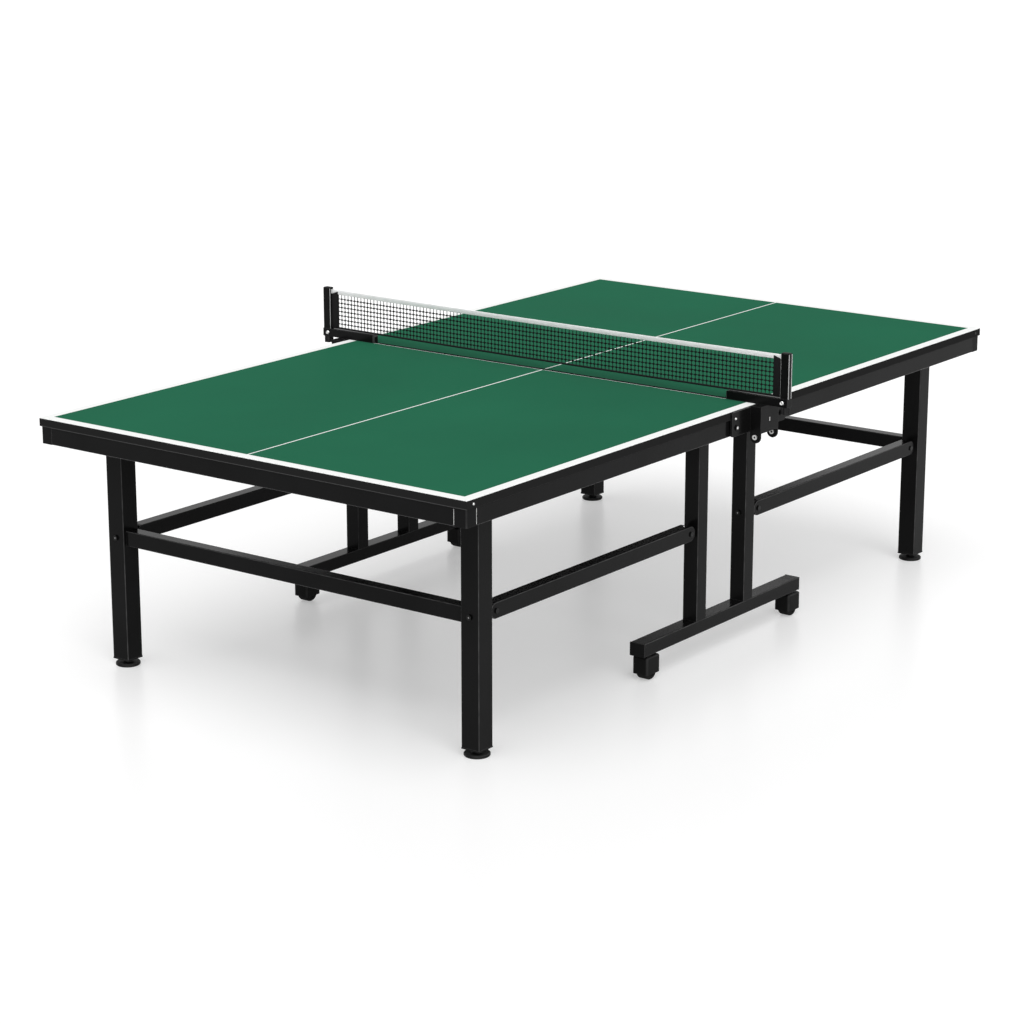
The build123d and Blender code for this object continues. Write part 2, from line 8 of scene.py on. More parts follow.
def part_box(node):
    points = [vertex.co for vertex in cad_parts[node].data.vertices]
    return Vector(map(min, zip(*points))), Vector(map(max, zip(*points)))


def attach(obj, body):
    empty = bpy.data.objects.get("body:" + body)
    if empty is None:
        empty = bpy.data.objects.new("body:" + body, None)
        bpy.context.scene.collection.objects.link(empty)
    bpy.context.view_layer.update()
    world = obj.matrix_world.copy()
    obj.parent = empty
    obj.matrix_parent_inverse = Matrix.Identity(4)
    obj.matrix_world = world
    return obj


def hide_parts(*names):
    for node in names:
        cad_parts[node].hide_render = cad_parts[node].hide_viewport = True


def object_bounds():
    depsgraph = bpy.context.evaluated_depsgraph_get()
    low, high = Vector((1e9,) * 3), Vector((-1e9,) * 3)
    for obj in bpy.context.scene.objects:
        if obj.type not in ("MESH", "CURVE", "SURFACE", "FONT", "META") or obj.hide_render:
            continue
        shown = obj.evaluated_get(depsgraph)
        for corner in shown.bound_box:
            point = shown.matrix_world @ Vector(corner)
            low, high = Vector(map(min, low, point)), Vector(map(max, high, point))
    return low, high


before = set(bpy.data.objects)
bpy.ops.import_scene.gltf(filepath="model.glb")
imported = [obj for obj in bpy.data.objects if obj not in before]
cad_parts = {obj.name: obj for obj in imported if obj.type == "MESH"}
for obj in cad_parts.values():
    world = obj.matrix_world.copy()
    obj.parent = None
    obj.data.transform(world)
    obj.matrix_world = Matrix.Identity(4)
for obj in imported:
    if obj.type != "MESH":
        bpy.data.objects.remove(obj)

cad_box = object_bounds()

# Wheeled centre frame: two foot rails, four uprights and two cross tubes of steel tube,
# welded together, with a flat head plate on each upright for the fold pivots.
# All of it is sprayed with black powder paint and baked, which leaves a fine orange peel.


def add_node(tree, kind, inputs=None, **settings):
    """Adds a shader node, and sets or links its inputs."""
    made = tree.nodes.new(kind)
    for key, value in settings.items():
        setattr(made, key, value)
    for key, value in (inputs or {}).items():
        if isinstance(value, bpy.types.NodeSocket):
            tree.links.new(value, made.inputs[key])
        else:
            made.inputs[key].default_value = value
    return made


def maths(tree, operation, first, second=0.0):
    """The output of one Math node."""
    return add_node(tree, "ShaderNodeMath", {0: first, 1: second}, operation=operation).outputs[0]


def mix_colours(tree, share, first, second):
    """The output of one colour Mix node."""
    inputs = {"Factor": share, "A": first, "B": second}
    return add_node(tree, "ShaderNodeMix", inputs, data_type="RGBA").outputs["Result"]


def grey(level, blue=1.0):
    """A grey of this level, warmer or cooler by its blue share."""
    return (level, level, level * blue, 1.0)


def new_group(name, inputs, output_names):
    """A shader node group with named number inputs and outputs."""
    group = bpy.data.node_groups.new(name, "ShaderNodeTree")
    for label, value in inputs.items():
        socket = group.interface.new_socket(label, in_out="INPUT", socket_type="NodeSocketFloat")
        socket.default_value = value
    for label in output_names:
        group.interface.new_socket(label, in_out="OUTPUT", socket_type="NodeSocketFloat")
    return group, group.nodes.new("NodeGroupInput"), group.nodes.new("NodeGroupOutput")


# Noise in two sizes: a fine one for the surface's height, a broad one for its tone.
grain_group, grain_in, grain_out = new_group(
    "fine_grain", {"Grain Scale": 650.0, "Patch Scale": 6.0}, ["Height", "Tone"])
grain_place = add_node(grain_group, "ShaderNodeTexCoord").outputs["Object"]
grain_fine = add_node(grain_group, "ShaderNodeTexNoise", {
    "Vector": grain_place, "Scale": grain_in.outputs["Grain Scale"], "Detail": 2.0})
grain_patch = add_node(grain_group, "ShaderNodeTexNoise", {
    "Vector": grain_place, "Scale": grain_in.outputs["Patch Scale"], "Detail": 4.0})
grain_tone = add_node(grain_group, "ShaderNodeMapRange", {
    "Value": grain_patch.outputs["Fac"], "From Min": 0.32, "From Max": 0.68})
grain_group.links.new(grain_fine.outputs["Fac"], grain_out.inputs["Height"])
grain_group.links.new(grain_tone.outputs["Result"], grain_out.inputs["Tone"])

# A rounded normal finds the sharp edges, which are rubbed paler in patches and also carry a painted
# highlight. The rounded corners of a tube, where the normal leans between two of its faces, for a tube
# along X, or along Y as the input says, get the same painted highlight.
edge_group, edge_in, edge_out = new_group("rubbed_and_highlit_edges", {"Width": 0.002, "Along Y": 0.0}, ["Rub"])
edge_round = add_node(edge_group, "ShaderNodeBevel", {"Radius": edge_in.outputs["Width"]}, samples=4)
edge_flat = add_node(edge_group, "ShaderNodeNewGeometry")
edge_dot = add_node(edge_group, "ShaderNodeVectorMath", {
    0: edge_round.outputs["Normal"], 1: edge_flat.outputs["Normal"]}, operation="DOT_PRODUCT")
edge_mask = add_node(edge_group, "ShaderNodeMapRange", {
    "Value": edge_dot.outputs["Value"], "From Min": 0.985, "From Max": 0.85})
edge_place = add_node(edge_group, "ShaderNodeTexCoord").outputs["Object"]
edge_patch = add_node(edge_group, "ShaderNodeTexNoise", {
    "Vector": edge_place, "Scale": 30.0, "Detail": 3.0})
edge_patchiness = add_node(edge_group, "ShaderNodeMapRange", {
    "Value": edge_patch.outputs["Fac"], "From Min": 0.3, "From Max": 0.7, "To Min": 0.4})
edge_facing = add_node(edge_group, "ShaderNodeSeparateXYZ", {
    "Vector": add_node(edge_group, "ShaderNodeTexCoord").outputs["Normal"]})
edge_across = add_node(edge_group, "ShaderNodeMix", {
    "Factor": edge_in.outputs["Along Y"], "A": edge_facing.outputs["Y"], "B": edge_facing.outputs["X"]})
edge_sine = maths(edge_group, "ABSOLUTE", edge_across.outputs["Result"])
edge_square = maths(edge_group, "MULTIPLY", edge_sine, edge_sine)
edge_cosine = maths(edge_group, "SQRT", maths(edge_group, "SUBTRACT", 1.0, edge_square))
edge_lean = maths(edge_group, "MULTIPLY", edge_sine, edge_cosine)
edge_corner_highlight = add_node(edge_group, "ShaderNodeMapRange", {
    "Value": edge_lean, "From Min": 0.15, "From Max": 0.45})
edge_both = maths(edge_group, "MAXIMUM", edge_mask.outputs["Result"], edge_corner_highlight.outputs["Result"])
edge_rub_and_highlight = maths(edge_group, "MULTIPLY", edge_both, edge_patchiness.outputs["Result"])
edge_group.links.new(edge_rub_and_highlight, edge_out.inputs["Rub"])


def new_material(name):
    """A material, its node tree and its shader."""
    material = bpy.data.materials.new(name)
    material.use_nodes = True
    return material, material.node_tree, material.node_tree.nodes["Principled BSDF"]


peel_depth = 0.0003


def coated(name, dark, light, edge, rough, grain_scale, bump, specular, along_y=0.0):
    """A grained coat in two close tones, paler where its edges are rubbed, with a painted highlight along
    its sharp edges and the rounded corners of its tubes.
    """
    material, tree, shader = new_material(name)
    grain = add_node(tree, "ShaderNodeGroup", node_tree=grain_group)
    grain.inputs["Grain Scale"].default_value = grain_scale
    rub_and_highlight = add_node(tree, "ShaderNodeGroup", node_tree=edge_group)
    rub_and_highlight.inputs["Along Y"].default_value = along_y
    body = mix_colours(tree, grain.outputs["Tone"], dark, light)
    rubbed_and_highlit = mix_colours(tree, rub_and_highlight.outputs["Rub"], body, edge)
    matt = add_node(tree, "ShaderNodeMapRange", {
        "Value": grain.outputs["Tone"], "To Min": rough[0], "To Max": rough[1]})
    peel = add_node(tree, "ShaderNodeBump", {
        "Height": grain.outputs["Height"], "Strength": bump, "Distance": peel_depth})
    tree.links.new(rubbed_and_highlit, shader.inputs["Base Color"])
    tree.links.new(matt.outputs["Result"], shader.inputs["Roughness"])
    tree.links.new(peel.outputs["Normal"], shader.inputs["Normal"])
    shader.inputs["Specular IOR Level"].default_value = specular
    return material


def paint_nodes(material, *starts):
    """Gives every CAD node whose name begins with one of the words this material."""
    for name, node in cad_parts.items():
        if name.startswith(starts):
            node.data.materials.clear()
            node.data.materials.append(material)


# The edge tone is partly rubbed paint and partly a painted highlight on edges and tube corners; the cross
# tube coat only turns that painted highlight to suit tubes along Y.
powder_coat = {"dark": grey(0.0048), "light": grey(0.0072, 1.03), "edge": grey(0.078),
               "rough": (0.17, 0.25), "grain_scale": 650.0, "bump": 0.10, "specular": 0.06}
black_powder_coat = coated("black_powder_coat", **powder_coat)
cross_tube_coat = coated("cross_tube_coat", along_y=1.0, **powder_coat)
paint_nodes(black_powder_coat, "base_rail", "uprights", "head_plates", "upright_lugs")
paint_nodes(cross_tube_coat, "frame_cross_members")

# Foot rail end caps, leg plugs and apron corner joints: black polypropylene mouldings
# that are knocked into the tubes. Their faces have a fine spark-eroded texture.
moulded_plastic = coated("moulded_black_plastic", dark=grey(0.0032), light=grey(0.0055, 1.05),
                         edge=grey(0.04), rough=(0.5, 0.6), grain_scale=1100.0, bump=0.3, specular=0.08)
paint_nodes(moulded_plastic, "base_caps", "leg_plugs", "corner_joints")

# Swivel casters: a boxy hood moulded in black plastic over a hard rubber wheel,
# turning on a steel stem under the foot rail.
hood_plastic = coated("caster_hood_plastic", dark=grey(0.0035), light=grey(0.0065), edge=grey(0.035),
                      rough=(0.42, 0.52), grain_scale=1000.0, bump=0.25, specular=0.06)
tread_rubber = coated("caster_tread_rubber", dark=grey(0.006), light=grey(0.012, 0.96), edge=grey(0.025),
                      rough=(0.62, 0.75), grain_scale=420.0, bump=0.35, specular=0.08)
paint_nodes(hood_plastic, "caster_fork")
paint_nodes(tread_rubber, "caster_wheel")

# Leg frames: square legs with a bar across, the link bars that keep them upright as
# the half swings, and the plates of the hinges, all in the same black powder paint.
# A flat plastic plug closes the upper end of each leg.
paint_nodes(black_powder_coat, "leg_front", "leg_rear", "link_bar", "leg_brackets", "leg_hinge_brackets")
paint_nodes(cross_tube_coat, "leg_cross_bar")
leg_wall = 0.002
plug_thickness = 0.004
plug_below_top = 0.0006
plug_bevel = 0.0006
sharp_from = math.radians(40)
HALVES = {"front": -1, "rear": 1}
SIDES = {"left": 1, "right": -1}


def add_piece(name, shape, material, body):
    """Makes an object of a finished shape, and puts it on a body of the frame."""
    mesh = bpy.data.meshes.new(name)
    shape.to_mesh(mesh)
    shape.free()
    mesh.shade_smooth()
    mesh.set_sharp_from_angle(angle=sharp_from)
    mesh.materials.append(material)
    piece = bpy.data.objects.new(name, mesh)
    bpy.context.scene.collection.objects.link(piece)
    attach(piece, body)
    return piece


def add_strip(shape, low, high, bevel):
    """A slim bar between two corners, with its edges broken."""
    low, high = Vector(low), Vector(high)
    bar = bmesh.ops.create_cube(shape, size=1.0)["verts"]
    bmesh.ops.scale(shape, vec=high - low, verts=bar)
    bmesh.ops.translate(shape, vec=(low + high) / 2, verts=bar)
    edges = list({edge for vert in bar for edge in vert.link_edges})
    bmesh.ops.bevel(shape, geom=edges, offset=bevel, segments=2, profile=0.5, affect="EDGES",
                    material=-1)


for half_name in HALVES:
    plugs = bmesh.new()
    for side_name in SIDES:
        leg_low, leg_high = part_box("leg_%s_%s" % (half_name, side_name))
        plug_top = leg_high.z - plug_below_top
        add_strip(plugs, (leg_low.x + leg_wall, leg_low.y + leg_wall, plug_top - plug_thickness),
                  (leg_high.x - leg_wall, leg_high.y - leg_wall, plug_top), plug_bevel)
    add_piece("leg_top_plugs_" + half_name, plugs, moulded_plastic, half_name + "_legs")

# Levelling feet: black rubber discs moulded on a threaded stem, which screws into the
# plug at the foot of each leg, so that the table can be set level.
foot_rubber = coated("foot_rubber", dark=grey(0.005), light=grey(0.009), edge=grey(0.03),
                     rough=(0.5, 0.62), grain_scale=800.0, bump=0.3, specular=0.08)
paint_nodes(foot_rubber, "levelling_foot")

# Pins and bolts: turned steel, blackened, with bright zinc on the bolts through the net brackets.
# The bright zinc disc in the sockets of the fold pivots and the grey disc in the sockets of the lug bolts
# are painted glints.
bolt_bright = grey(0.92, 0.98)
bolt_dull = grey(0.64, 0.98)
bolt_blackened = grey(0.016)
bolt_glint_grey = grey(0.2)
pivot_socket = 0.0042
lug_socket = 0.0024
dark_socket = 0.0032
bolt_head_room = 0.01
cheek_radius = 0.018
holder_low, holder_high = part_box("net_holders")
bracket_reach = holder_high.x + bolt_head_room
cheek_y = holder_high.y - cheek_radius
cheek_z = holder_low.z + cheek_radius
leg_low, leg_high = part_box("leg_front_left")
lug_y = (leg_low.y + leg_high.y) / 2
bar_low, bar_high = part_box("link_bar_front_left")
lug_z = (bar_low.z + bar_high.z) / 2
head_plate_radius = 0.021
head_plate_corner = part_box("head_plates")[1]
pivot_x = head_plate_corner.x - head_plate_radius
pivot_z = head_plate_corner.z - head_plate_radius
bolt_finish, bolt_tree, bolt_shader = new_material("bolt_finish")
bolt_grain = add_node(bolt_tree, "ShaderNodeGroup", node_tree=grain_group)
bolt_grain.inputs["Grain Scale"].default_value = 900.0
bolt_grain.inputs["Patch Scale"].default_value = 60.0
bolt_zinc = mix_colours(bolt_tree, bolt_grain.outputs["Tone"], bolt_dull, bolt_bright)
bolt_place = add_node(bolt_tree, "ShaderNodeTexCoord").outputs["Object"]
bolt_axes = add_node(bolt_tree, "ShaderNodeSeparateXYZ", {"Vector": bolt_place})
bolt_x = maths(bolt_tree, "ABSOLUTE", bolt_axes.outputs["X"])
bolt_y = maths(bolt_tree, "ABSOLUTE", bolt_axes.outputs["Y"])


def near_axis(across, across_centre, up_centre, radius):
    """1 within a radius of a bolt's axis, and 0 elsewhere."""
    sideways = maths(bolt_tree, "SUBTRACT", across, across_centre)
    upward = maths(bolt_tree, "SUBTRACT", bolt_axes.outputs["Z"], up_centre)
    offset = add_node(bolt_tree, "ShaderNodeCombineXYZ", {"X": sideways, "Y": upward})
    distance = add_node(bolt_tree, "ShaderNodeVectorMath", {0: offset.outputs[0]}, operation="LENGTH")
    return maths(bolt_tree, "LESS_THAN", distance.outputs["Value"], radius)


bolt_in_bracket = maths(bolt_tree, "LESS_THAN", bolt_x, bracket_reach)
cheek_socket = near_axis(bolt_y, cheek_y, cheek_z, dark_socket)
bracket_rim = maths(bolt_tree, "SUBTRACT", bolt_in_bracket, cheek_socket)
# Painted glint: a bright zinc disc in the socket of each fold pivot.
pivot_glint = near_axis(bolt_x, pivot_x, pivot_z, pivot_socket)
bolt_zinc_and_glint = maths(bolt_tree, "MAXIMUM", pivot_glint, bracket_rim)
bolt_zinced = mix_colours(bolt_tree, bolt_zinc_and_glint, bolt_blackened, bolt_zinc)
# Painted glint: a grey disc in the socket of each lug bolt.
lug_glint = near_axis(bolt_y, lug_y, lug_z, lug_socket)
bolt_colour = mix_colours(bolt_tree, lug_glint, bolt_zinced, bolt_glint_grey)
bolt_matt = add_node(bolt_tree, "ShaderNodeMapRange", {
    "Value": bolt_grain.outputs["Tone"], "To Min": 0.40, "To Max": 0.28})
bolt_bump = add_node(bolt_tree, "ShaderNodeBump", {
    "Height": bolt_grain.outputs["Height"], "Strength": 0.15, "Distance": 0.0002})
bolt_tree.links.new(bolt_colour, bolt_shader.inputs["Base Color"])
bolt_tree.links.new(bolt_matt.outputs["Result"], bolt_shader.inputs["Roughness"])
bolt_tree.links.new(bolt_bump.outputs["Normal"], bolt_shader.inputs["Normal"])
bolt_shader.inputs["Metallic"].default_value = 1.0
paint_nodes(bolt_finish, "centre_pins", "leg_pins")

# Pivot bushes: bearings of dark grey nylon, pressed into bores in the side rails. The
# bolts of the fold pivots turn in them.
bush_nylon = coated("bush_nylon", dark=grey(0.035), light=grey(0.05), edge=grey(0.07),
                    rough=(0.4, 0.5), grain_scale=700.0, bump=0.15, specular=0.4)
paint_nodes(bush_nylon, "pivot_bushes")

# Apron: rectangular steel tubes round the underside of each half, in black powder paint.
# The cut ends of the tubes show as a line beside each corner joint. They are painted over,
# apart from those at the front right corner, which are bright bare steel as a painted highlight of that
# corner.
paint_nodes(black_powder_coat, "side_rail")
paint_nodes(cross_tube_coat, "end_rail", "cross_rail")
rim_width = 0.0014
rim_proud = 0.0004
rim_short = 0.004
rim_bevel = 0.0003
bare_dull = grey(0.55)
bare_bright = grey(0.85, 0.98)
bare_steel, bare_tree, bare_shader = new_material("bare_steel")
bare_grain = add_node(bare_tree, "ShaderNodeGroup", node_tree=grain_group)
bare_grain.inputs["Patch Scale"].default_value = 90.0
bare_colour = mix_colours(bare_tree, bare_grain.outputs["Tone"], bare_dull, bare_bright)
bare_matt = add_node(bare_tree, "ShaderNodeMapRange", {
    "Value": bare_grain.outputs["Tone"], "To Min": 0.42, "To Max": 0.3})
bare_tree.links.new(bare_colour, bare_shader.inputs["Base Color"])
bare_tree.links.new(bare_matt.outputs["Result"], bare_shader.inputs["Roughness"])
bare_shader.inputs["Metallic"].default_value = 1.0


def end_finish_with_highlight(corner):
    """The material and slot of the small steel ends at one corner of the table: bright bare steel at the
    front right as a painted highlight, black paint elsewhere.
    """
    if corner == "front_right":
        return bare_steel, "bolt_steel"
    return black_powder_coat, "black_steel"


for half_name, half in HALVES.items():
    end_low, end_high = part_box("end_rail_" + half_name)
    outer_x = end_high.x if half > 0 else -end_low.x
    for side_name, side in SIDES.items():
        corner = half_name + "_" + side_name
        rims = bmesh.new()
        rail_low, rail_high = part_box("side_rail_" + corner)
        seam_x = rail_high.x if half > 0 else -rail_low.x
        outer_y = rail_high.y if side > 0 else -rail_low.y
        z_low, z_high = rail_low.z + rim_short, rail_high.z - rim_short
        seam = sorted((half * (seam_x - rim_width), half * seam_x))
        face = sorted((side * (outer_y - rim_width), side * (outer_y + rim_proud)))
        add_strip(rims, (seam[0], face[0], z_low), (seam[1], face[1], z_high), rim_bevel)
        seam = sorted((side * (end_high.y - rim_width), side * end_high.y))
        face = sorted((half * (outer_x - rim_width), half * (outer_x + rim_proud)))
        add_strip(rims, (face[0], seam[0], z_low), (face[1], seam[1], z_high), rim_bevel)
        rim_material, rim_slot = end_finish_with_highlight(corner)
        add_piece("rail_end_rims_" + corner, rims, rim_material, half_name + "_half")

# Half tops: fibreboard with a matt green playing paint, white painted lines and a
# black band glued round the edge. A thin line marks the inner edge of the front half.
# A grey line along the lower edge of each end face is a painted highlight.
half_length = cad_box[1].x
half_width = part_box("top_panel_front")[1].y
table_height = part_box("top_panel_front")[1].z
border_line = 0.029
centre_line = 0.005
inner_line_from = 0.0076
inner_line_to = 0.0098
paint_wrap = 0.0022
painted_from = table_height - paint_wrap
green_deep = (0.0174, 0.115, 0.0624, 1)
green_pale = (0.0203, 0.131, 0.0709, 1)
line_white = (0.86, 0.87, 0.86, 1)
edge_black = grey(0.02)
# Painted highlight: a grey line along the lower edge of each end face of the board.
arris_highlight_grey = grey(0.07)
arris_height = 0.0018
arris_depth = 0.0004
arris_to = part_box("top_panel_front")[0].z + arris_height
top_paint, top_tree, top_shader = new_material("green_playing_paint")
top_place = add_node(top_tree, "ShaderNodeTexCoord").outputs["Object"]
top_axes = add_node(top_tree, "ShaderNodeSeparateXYZ", {"Vector": top_place})
top_along = maths(top_tree, "ABSOLUTE", top_axes.outputs["X"])
top_across = maths(top_tree, "ABSOLUTE", top_axes.outputs["Y"])
end_lines = maths(top_tree, "GREATER_THAN", top_along, half_length - border_line)
side_lines = maths(top_tree, "GREATER_THAN", top_across, half_width - border_line)
middle_line = maths(top_tree, "LESS_THAN", top_across, centre_line / 2)
front_half = maths(top_tree, "LESS_THAN", top_axes.outputs["X"], 0.0)
inner_edge = maths(top_tree, "LESS_THAN", top_along, inner_line_to)
inner_line = maths(top_tree, "MULTIPLY", front_half, inner_edge)
outer_lines = maths(top_tree, "MAXIMUM", end_lines, side_lines)
thin_lines = maths(top_tree, "MAXIMUM", middle_line, inner_line)
top_lines = maths(top_tree, "MAXIMUM", outer_lines, thin_lines)
top_grain = add_node(top_tree, "ShaderNodeGroup", node_tree=grain_group)
top_grain.inputs["Grain Scale"].default_value = 900.0
top_grain.inputs["Patch Scale"].default_value = 1.6
top_green = mix_colours(top_tree, top_grain.outputs["Tone"], green_deep, green_pale)
top_lined = mix_colours(top_tree, top_lines, top_green, line_white)
top_level = maths(top_tree, "GREATER_THAN", top_axes.outputs["Z"], painted_from)
top_inward = maths(top_tree, "GREATER_THAN", top_along, inner_line_from)
top_face = maths(top_tree, "MULTIPLY", top_level, top_inward)
# Mask of the painted highlight along the lower edge of the end faces.
low_edge = maths(top_tree, "LESS_THAN", top_axes.outputs["Z"], arris_to)
end_face = maths(top_tree, "GREATER_THAN", top_along, half_length - arris_depth)
top_arris_highlight = maths(top_tree, "MULTIPLY", low_edge, end_face)
top_band = mix_colours(top_tree, top_arris_highlight, edge_black, arris_highlight_grey)
top_colour = mix_colours(top_tree, top_face, top_band, top_lined)
top_matt = add_node(top_tree, "ShaderNodeMapRange", {
    "Value": top_grain.outputs["Tone"], "To Min": 0.46, "To Max": 0.58})
top_bump = add_node(top_tree, "ShaderNodeBump", {
    "Height": top_grain.outputs["Height"], "Strength": 0.12, "Distance": 0.0002})
top_tree.links.new(top_colour, top_shader.inputs["Base Color"])
top_tree.links.new(top_matt.outputs["Result"], top_shader.inputs["Roughness"])
top_tree.links.new(top_bump.outputs["Normal"], top_shader.inputs["Normal"])
top_shader.inputs["Specular IOR Level"].default_value = 0.001
paint_nodes(top_paint, "top_panel")

# Net gear: plates on the fold pivots, box brackets with a lid, hollow arms on the table top
# and upright posts, in black powder paint, with zinc screws and bolts. The posts have plastic
# caps and pale trims along their edges, whose pale colour is a painted highlight, and a fluted plastic
# knob below each of them clamps the net.
paint_nodes(black_powder_coat, "net_holders", "net_struts", "net_arms", "net_posts")
paint_nodes(moulded_plastic, "clamp_knob")
screw_segments = 12
screw_taper = 0.72
socket_rim_share = 0.42
socket_depth_share = 0.6


def screw_head(radius, height):
    """A low domed head with a socket in it, standing on Z = 0 about the Z axis."""
    shape = bmesh.new()
    bmesh.ops.create_circle(shape, cap_ends=True, segments=screw_segments, radius=radius)
    raised = bmesh.ops.extrude_face_region(shape, geom=shape.faces[:])["geom"]
    rim = [part for part in raised if isinstance(part, bmesh.types.BMVert)]
    crown = [part for part in raised if isinstance(part, bmesh.types.BMFace)]
    bmesh.ops.translate(shape, vec=(0, 0, height), verts=rim)
    bmesh.ops.scale(shape, vec=(screw_taper, screw_taper, 1), verts=rim)
    bmesh.ops.inset_region(shape, faces=crown, thickness=socket_rim_share * radius,
                           depth=-socket_depth_share * height)
    bmesh.ops.recalc_face_normals(shape, faces=shape.faces)
    mesh = bpy.data.meshes.new("screw_head")
    shape.to_mesh(mesh)
    shape.free()
    return mesh


def add_screw(shape, head, place, outward):
    """Puts a copy of a screw head on a face that looks outward."""
    standing = set(shape.verts)
    shape.from_mesh(head)
    added = [vert for vert in shape.verts if vert not in standing]
    turn = Vector(outward).to_track_quat("Z", "Y").to_matrix().to_4x4()
    bmesh.ops.transform(shape, matrix=Matrix.Translation(place) @ turn, verts=added)


strut_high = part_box("net_struts")[1]
arm_low, arm_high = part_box("net_arms")
post_low, post_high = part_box("net_posts")
plate_screw = screw_head(radius=0.0042, height=0.0016)
plate_screw_outside_pivot = 0.005
plate_screw_above_pivot = 0.027
plate_screw_x = pivot_x + plate_screw_outside_pivot
plate_screw_z = pivot_z + plate_screw_above_pivot
arm_screw = screw_head(radius=0.0065, height=0.003)
arm_screw_from_end = 0.018
arm_screw_y = arm_high.y - arm_screw_from_end
arm_screw_z = (arm_low.z + arm_high.z) / 2
slot_half_width = 0.0015
slot_half_height = 0.006
slot_above_middle = 0.012
slot_sunk = 0.001
slot_proud = 0.0005
slot_bevel = 0.0005
slot_z = (holder_low.z + holder_high.z) / 2 + slot_above_middle
trim_width = 0.0026
trim_proud = 0.0006
trim_bevel = 0.0003
trim_below_top = 0.001
post_depth = 0.026
post_inner = post_high.y - post_depth
cap_height = 0.002
cap_bevel = 0.0007
holder_wall = 0.004
holder_depth = 0.032
lid_recess = 0.0006
gear_bolts = bmesh.new()
post_edge_highlights = bmesh.new()
post_caps = bmesh.new()
holder_lids = bmesh.new()
for side in SIDES.values():
    for half in HALVES.values():
        add_screw(gear_bolts, plate_screw,
                  (half * plate_screw_x, side * strut_high.y, plate_screw_z), (0, side, 0))
        add_screw(gear_bolts, arm_screw,
                  (half * arm_high.x, side * arm_screw_y, arm_screw_z), (half, 0, 0))
        edge = sorted((half * (post_high.x - trim_width), half * post_high.x))
        for face_y, outward in ((post_high.y, 1), (post_inner, -1)):
            face = sorted((side * (face_y - outward * trim_proud), side * (face_y + outward * trim_proud)))
            add_strip(post_edge_highlights, (edge[0], face[0], post_low.z),
                      (edge[1], face[1], post_high.z - trim_below_top), trim_bevel)
    face = sorted((side * (holder_high.y - slot_sunk), side * (holder_high.y + slot_proud)))
    add_strip(gear_bolts, (-slot_half_width, face[0], slot_z - slot_half_height),
              (slot_half_width, face[1], slot_z + slot_half_height), slot_bevel)
    ends = sorted((side * post_inner, side * post_high.y))
    add_strip(post_caps, (post_low.x, ends[0], post_high.z),
              (post_high.x, ends[1], post_high.z + cap_height), cap_bevel)
    ends = sorted((side * (holder_high.y - holder_depth), side * (holder_high.y - holder_wall)))
    add_strip(holder_lids, (holder_low.x + holder_wall, ends[0], holder_high.z - holder_wall),
              (holder_high.x - holder_wall, ends[1], holder_high.z - lid_recess), cap_bevel)
add_piece("net_gear_bolts", gear_bolts, bare_steel, "undercarriage")
add_piece("net_post_caps", post_caps, moulded_plastic, "undercarriage")
add_piece("net_holder_lids", holder_lids, black_powder_coat, "undercarriage")
# The pale trims are a painted highlight along the vertical edges of the posts.
trim_highlight_plastic = coated("post_trim_highlight_plastic", dark=grey(0.50), light=grey(0.62), edge=grey(0.66),
                      rough=(0.4, 0.5), grain_scale=900.0, bump=0.1, specular=0.3)
add_piece("net_post_edge_highlights", post_edge_highlights, trim_highlight_plastic, "undercarriage")

# Corner screws: small screws in the edge of the board near each corner, which hold the
# black edge band to it. They are painted over, apart from the bright steel one at the front right, which
# is a painted highlight of that corner.
edge_screw = screw_head(radius=0.0038, height=0.0012)
edge_screw_from_end = 0.029
edge_screw_below_top = 0.0145
edge_screw_x = half_length - edge_screw_from_end
edge_screw_z = table_height - edge_screw_below_top
for half_name, half in HALVES.items():
    for side_name, side in SIDES.items():
        corner = half_name + "_" + side_name
        corner_screw = bmesh.new()
        add_screw(corner_screw, edge_screw,
                  (half * edge_screw_x, side * half_width, edge_screw_z), (0, side, 0))
        screw_material, screw_slot = end_finish_with_highlight(corner)
        add_piece("corner_screw_" + corner, corner_screw, screw_material, half_name + "_half")

# Net: knotted black cord in square meshes, tied between a white folded tape along the
# top and a black hem along the bottom, and closed at each end by a black sleeve.
net_low, net_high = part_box("net")
cord_radius = 0.0012
cord_sides = 5
knot_radius = 0.0041
knot_flatness = 0.75
mesh_pitch = 0.0134
tape_height = 0.0145
tape_half_thickness = 0.0022
tape_bevel = 0.0018
hem_radius = 0.003
hem_sides = 10
sleeve_width = 0.026
sleeve_half_thickness = 0.0045
sleeve_gap = 0.003
sleeve_outer = post_inner - sleeve_gap
sleeve_inner = sleeve_outer - sleeve_width
net_sag = 0.003
sag_cuts = 80


def sag(shape):
    """Lets the middle of a stretched piece hang a little between the posts."""
    for vert in shape.verts:
        share = vert.co.y / post_inner
        vert.co.z -= net_sag * max(0.0, 1.0 - share * share)


def cut_along_net(shape):
    """Divides the long edges, so that the piece can follow the sag."""
    long_edges = [e for e in shape.edges if abs(e.verts[0].co.y - e.verts[1].co.y) > post_inner]
    bmesh.ops.subdivide_edges(shape, edges=long_edges, cuts=sag_cuts)


one_wave_per_metre = 0.32
thread_depth = 0.0004
rough_spread = 0.05
cloth_specular = 0.15


